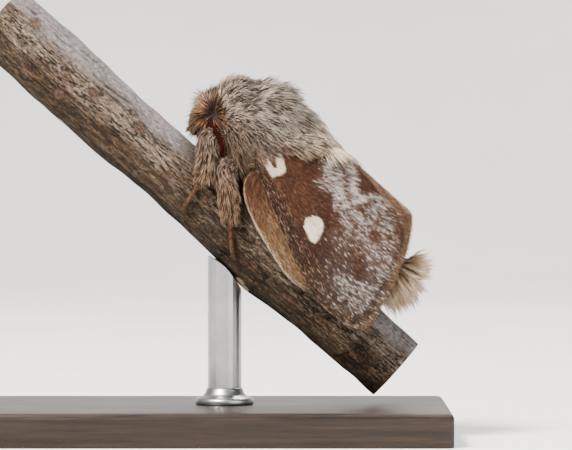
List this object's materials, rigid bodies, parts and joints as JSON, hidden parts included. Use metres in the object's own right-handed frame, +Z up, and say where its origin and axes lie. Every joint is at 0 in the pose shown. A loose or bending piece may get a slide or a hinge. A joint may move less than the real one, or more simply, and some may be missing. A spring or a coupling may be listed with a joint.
{
  "type": "moth model on a perch",
  "caption": "Life-size small eggar moth at rest with roofed wings, gripping a short sloping twig on a plain rod and base.",
  "frame": {"origin": "middle of the underside of the display base", "axes": "+X towards the moth's tail and down the twig, -Y towards the moth's left side (the one in the picture), +Z up"},
  "size_m": [0.043, 0.026, 0.0399],
  "materials": {
    "head_fur": "orange-brown and grey-brown hair",
    "eye": "glossy black compound eye",
    "antenna": "dark red-brown, comb-like",
    "thorax_fur": "grey-brown hair with pale tips",
    "abdomen_fur": "buff-brown hair",
    "tuft_fur": "pale grey-buff hair",
    "forewing": "chestnut scales with white spots and dusting",
    "hindwing": "warm buff scales",
    "leg": "grey-brown hair, red-brown feet",
    "bark": "fissured grey-brown bark",
    "stand_base": "dark satin wood",
    "stand_rod": "satin steel"
  },
  "bodies": {
    "root": {"head": "head_fur", "eye_left": "eye", "eye_right": "eye", "antenna_left": "antenna", "antenna_right": "antenna", "thorax": "thorax_fur", "abdomen": "abdomen_fur", "anal_tuft": "tuft_fur", "forewing_left": "forewing", "forewing_right": "forewing", "hindwing_left": "hindwing", "hindwing_right": "hindwing", "foreleg_left": "leg", "foreleg_right": "leg", "midleg_left": "leg", "midleg_right": "leg", "hindleg_left": "leg", "hindleg_right": "leg", "perch_twig": "bark", "stand_base": "stand_base", "stand_rod": "stand_rod"}
  },
  "joints": []
}
